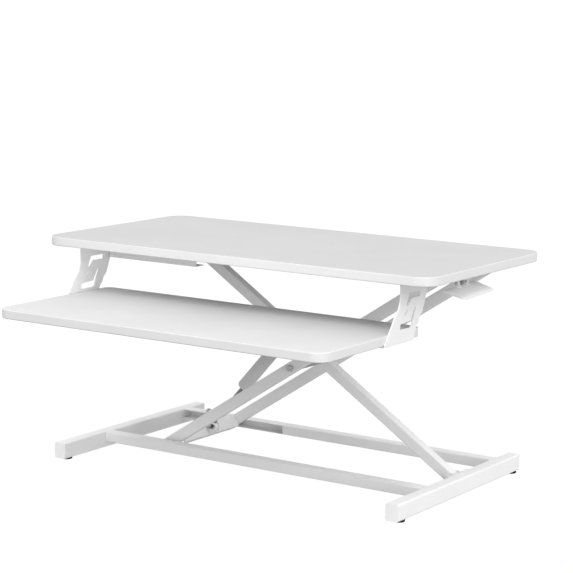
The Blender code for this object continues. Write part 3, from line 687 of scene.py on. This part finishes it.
def centre_bolt():
    """The bolt through both arms, with a chamfered hexagon head and a thread."""
    at = middle("centre_bolt")
    low, high = extent("centre_bolt", 1)
    thread_start = extent("centre_nut", 1)[0] - 0.002
    shank = [(0, low + 0.0030), (BOLT_RADIUS, low + 0.0030), (BOLT_RADIUS, thread_start)]
    level = thread_start
    while level < high - 0.0016:
        shank += [(BOLT_RADIUS, level + 0.0002), (BOLT_RADIUS - BOLT_THREAD, level + 0.0006)]
        level += BOLT_PITCH
    shank += [(BOLT_END, high), (0, high)]
    made = turned("centre_bolt_fine", (at.x, 0, at.z), Y, shank, PIN_SIDES)
    head = hexagon("head", at, low, low + BOLT_HEAD_HEIGHT)
    stand_in(merged(made, [head], "UNION"), "centre_bolt")


def centre_nut():
    at = middle("centre_nut")
    low, high = extent("centre_nut", 1)
    made = hexagon("centre_nut_fine", at, low, high)
    drill = [
        (0, low - BORE_PAST),
        (NUT_BORE, low - BORE_PAST),
        (NUT_BORE, high + BORE_PAST),
        (0, high + BORE_PAST),
    ]
    bore = turned("bore", (at.x, 0, at.z), Y, drill, PIN_SIDES)
    stand_in(merged(made, [bore], "DIFFERENCE"), "centre_nut")


def hexagon(name, at, low, high):
    """A hexagonal block whose corners are turned down to a cone at both ends."""
    outline = []
    for k in range(6):
        turn = HEXAGON_TURN + 2 * math.pi * k / 6
        outline.append((HEXAGON_RADIUS * math.cos(turn), HEXAGON_RADIUS * math.sin(turn)))
    block = prism(name, outline, square_to((at.x, 0, at.z), Y), low, high)
    profile = [
        (0, low),
        (HEXAGON_RADIUS * HEXAGON_FLAT, low),
        (HEXAGON_RADIUS, low + HEXAGON_CHAMFER),
        (HEXAGON_RADIUS, high - HEXAGON_CHAMFER),
        (HEXAGON_RADIUS * HEXAGON_FLAT, high),
        (0, high),
    ]
    cone = turned("cone", (at.x, 0, at.z), Y, profile, MANY_SIDES)
    return merged(block, [cone], "INTERSECT")


def lever_pin():
    """The lever's pin, with a rounded head at each end."""
    at = middle("lever_pin")
    low, high = extent("lever_pin", 1)
    half = [
        (0, low),
        (0.0018, low + 0.0001),
        (0.0029, low + 0.0005),
        (LEVER_PIN_HEAD, low + 0.0011),
        (LEVER_PIN_HEAD, low + LEVER_PIN_HEAD_DEPTH),
        (LEVER_PIN_RADIUS, low + LEVER_PIN_HEAD_DEPTH),
    ]
    made = turned("lever_pin_fine", (at.x, 0, at.z), Y, two_ended(half, low, high), SMALL_SIDES)
    stand_in(made, "lever_pin")


def lever_spring():
    """The round-wire torsion coil on the lever's pin, with a leg at each end."""
    at = middle("lever_pin")
    low, high = extent("lever_spring", 1)
    start = low + WIRE_RADIUS
    length = high - low - 2 * WIRE_RADIUS
    steps = COIL_TURNS * COIL_STEPS
    coil = []
    for k in range(steps + 1):
        turn = 2 * math.pi * k / COIL_STEPS + math.pi / 2
        x = at.x + COIL_RADIUS * math.cos(turn)
        z = at.z + COIL_RADIUS * math.sin(turn)
        coil.append(Vector((x, start + length * k / steps, z)))
    path = [coil[0] + COIL_LEG, *coil, coil[-1] + COIL_LEG]
    stand_in(wire_along("lever_spring_fine", path), "lever_spring")


def wire_along(name, path):
    """Round wire along a path that never runs along the depth."""
    bm = bmesh.new()
    rings = []
    for k, point in enumerate(path):
        ahead = (path[min(k + 1, len(path) - 1)] - path[max(k - 1, 0)]).normalized()
        side = ahead.cross(Y).normalized()
        up = side.cross(ahead)
        ring = []
        for n in range(WIRE_SIDES):
            turn = 2 * math.pi * n / WIRE_SIDES
            out = side * math.cos(turn) + up * math.sin(turn)
            ring.append(bm.verts.new(point + out * WIRE_RADIUS))
        rings.append(ring)
    bm.faces.new(rings[0])
    bm.faces.new(rings[-1])
    for one, two in zip(rings, rings[1:]):
        for n in range(WIRE_SIDES):
            j = (n + 1) % WIRE_SIDES
            bm.faces.new((one[n], one[j], two[j], two[n]))
    return new_object(name, bm)


# --- Gas spring ----------------------------------------------------------------------------


def gas_cylinder(down):
    """A painted tube with a rounded closed end, a rolled groove and a welded eye."""
    radius, near, far = CYLINDER_RADIUS, CYLINDER_NEAR, CYLINDER_FAR
    profile = [(0, near)]
    curve = CYLINDER_CLOSED_ROUND
    for k in range(1, 7):
        turn = math.pi / 2 * k / 6
        profile.append((radius - curve + curve * math.sin(turn), near + curve - curve * math.cos(turn)))
    inset = (0, ROLLED_GROOVE_DEPTH, ROLLED_GROOVE_DEPTH, 0)
    for back, depth in zip(ROLLED_GROOVE_LEVELS, inset):
        profile.append((radius - depth, far - back))
    curve = CYLINDER_ROD_END_ROUND
    for k in range(7):
        turn = math.pi / 2 * k / 6
        profile.append((radius - curve + curve * math.cos(turn), far - curve + curve * math.sin(turn)))
    profile += [
        (ROD_RADIUS + 0.0016, far),
        (ROD_RADIUS + 0.0010, far - GUIDE_LIP),
        (ROD_RADIUS + GUIDE_PLAY, far - GUIDE_LIP),
        (ROD_RADIUS + GUIDE_PLAY, far - GUIDE_DEPTH),
        (0, far - GUIDE_DEPTH),
    ]
    tube = turned("gas_cylinder_fine", SPRING_HIGH, down, profile, FINE_SIDES)
    welded = eye(SPRING_HIGH, down, near + 0.001, CYLINDER_NECK)
    stand_in(merged(tube, [welded], "UNION"), "gas_cylinder")


def gas_rod(down, length):
    """A chromed rod with a collar in front of its own eye."""
    tip = length - ROD_TIP
    start = length - ROD_LENGTH
    profile = [(0, start), (ROD_RADIUS, start)]
    rise = (0, COLLAR_RISE, COLLAR_RISE, 0)
    for back, height in zip(COLLAR_LEVELS, rise):
        profile.append((ROD_RADIUS + height, tip - back))
    profile += [(ROD_RADIUS, tip), (0, tip)]
    rod = turned("gas_rod_fine", SPRING_HIGH, down, profile)
    screwed = eye(SPRING_LOW, -down, ROD_NECK_REACH, ROD_NECK)
    stand_in(merged(rod, [screwed], "UNION"), "gas_rod")


def eye(centre, ahead, reach, half_neck):
    """A flat eye round a pin, with a neck that runs ahead to the tube or the rod."""
    up = ahead.cross(Y)
    start, sweep = EYE_ARC
    outline = []
    for k in range(EYE_STEPS + 1):
        turn = start + sweep * k / EYE_STEPS
        outline.append((EYE_RADIUS * math.cos(turn), EYE_RADIUS * math.sin(turn)))
    outline += [(reach, -half_neck), (reach, half_neck)]
    flat = prism(
        "eye",
        outline,
        lambda a, b, level: centre + ahead * a + up * b + Y * level,
        -TONGUE_HALF,
        TONGUE_HALF,
    )
    drill = [(0, -BORE_PAST), (BORE_RADIUS, -BORE_PAST), (BORE_RADIUS, BORE_PAST), (0, BORE_PAST)]
    return merged(flat, [turned("hole", centre, Y, drill, PIN_SIDES)], "DIFFERENCE")


def gas_spring():
    span = SPRING_LOW - SPRING_HIGH
    gas_cylinder(span.normalized())
    gas_rod(span.normalized(), span.length)


# --- Camera, light and floor ---------------------------------------------------------------


def camera():
    """Looks down at the object from its right, as the yaw, pitch and roll above say."""
    level = Vector((math.cos(CAMERA_YAW), math.sin(CAMERA_YAW), 0))
    forward = Vector((-math.sin(CAMERA_YAW), math.cos(CAMERA_YAW), 0))
    ahead = forward * math.cos(CAMERA_PITCH) - Z * math.sin(CAMERA_PITCH)
    upright = level.cross(ahead)
    right = math.cos(CAMERA_ROLL) * level + math.sin(CAMERA_ROLL) * upright
    above = -math.sin(CAMERA_ROLL) * level + math.cos(CAMERA_ROLL) * upright
    data = bpy.data.cameras.new("camera")
    data.lens = CAMERA_LENS
    data.sensor_width = CAMERA_SENSOR
    data.clip_end = CAMERA_REACH
    made = bpy.data.objects.new("camera", data)
    turn = Matrix((right, above, -ahead)).transposed().to_4x4()
    made.matrix_world = Matrix.Translation(CAMERA_AT) @ turn
    bpy.context.scene.collection.objects.link(made)
    bpy.context.scene.camera = made


def area_light(name, at, target, size, power):
    data = bpy.data.lights.new(name, "AREA")
    data.shape = "DISK"
    data.size = size
    data.energy = power
    made = bpy.data.objects.new(name, data)
    made.location = at
    aim = Vector(target) - Vector(at)
    made.rotation_euler = aim.to_track_quat("-Z", "Y").to_euler()
    bpy.context.scene.collection.objects.link(made)


def sky():
    """A white dome, brightest overhead and darker below the horizon."""
    world = bpy.data.worlds.new("studio")
    world.use_nodes = True
    tree = world.node_tree
    dome_light = tree.nodes["Background"]
    dome_light.inputs["Color"].default_value = (1, 1, 1, 1)
    place = tree.nodes.new("ShaderNodeTexCoord")
    split = tree.nodes.new("ShaderNodeSeparateXYZ")
    link(tree, place, "Generated", split, "Vector")
    above = spread(tree, split, "Z", 0.0, ZENITH - HORIZON, 0.0, 1.0)
    below = spread(tree, split, "Z", NADIR, HORIZON, -0.6, 0.0)
    both = tree.nodes.new("ShaderNodeMath")
    both.operation = "ADD"
    link(tree, above, "Result", both, 0)
    link(tree, below, "Result", both, 1)
    link(tree, both, "Value", dome_light, "Strength")
    bpy.context.scene.world = world
    bpy.context.scene.view_settings.view_transform = "Standard"


def floor():
    """A pale floor that glows a little, so that it stays even. It neither lights nor mirrors."""
    mesh = bpy.data.meshes.new("floor")
    corners = [(a * FLOOR_REACH, b * FLOOR_REACH, 0) for a, b in ((-1, -1), (1, -1), (1, 1), (-1, 1))]
    mesh.from_pydata(corners, [], [(0, 1, 2, 3)])
    made = bpy.data.objects.new("floor", mesh)
    bpy.context.scene.collection.objects.link(made)
    paint, _, shader = new_material("floor", 0.0, 0.0)
    shader.inputs["Base Color"].default_value = (FLOOR_TONE, FLOOR_TONE, FLOOR_TONE, 1)
    shader.inputs["Roughness"].default_value = 0.9
    shader.inputs["Emission Color"].default_value = (1, 1, 1, 1)
    shader.inputs["Emission Strength"].default_value = FLOOR_GLOW
    mesh.materials.append(paint)
    made.visible_diffuse = False
    made.visible_glossy = False


dress_nodes()
wood_screws()
headed_pins()
rollers()
foot_pads()
stop_button()
axles()
centre_bolt()
centre_nut()
lever_pin()
lever_spring()
gas_spring()
camera()
sky()
floor()
for light in LIGHTS:
    area_light(*light)
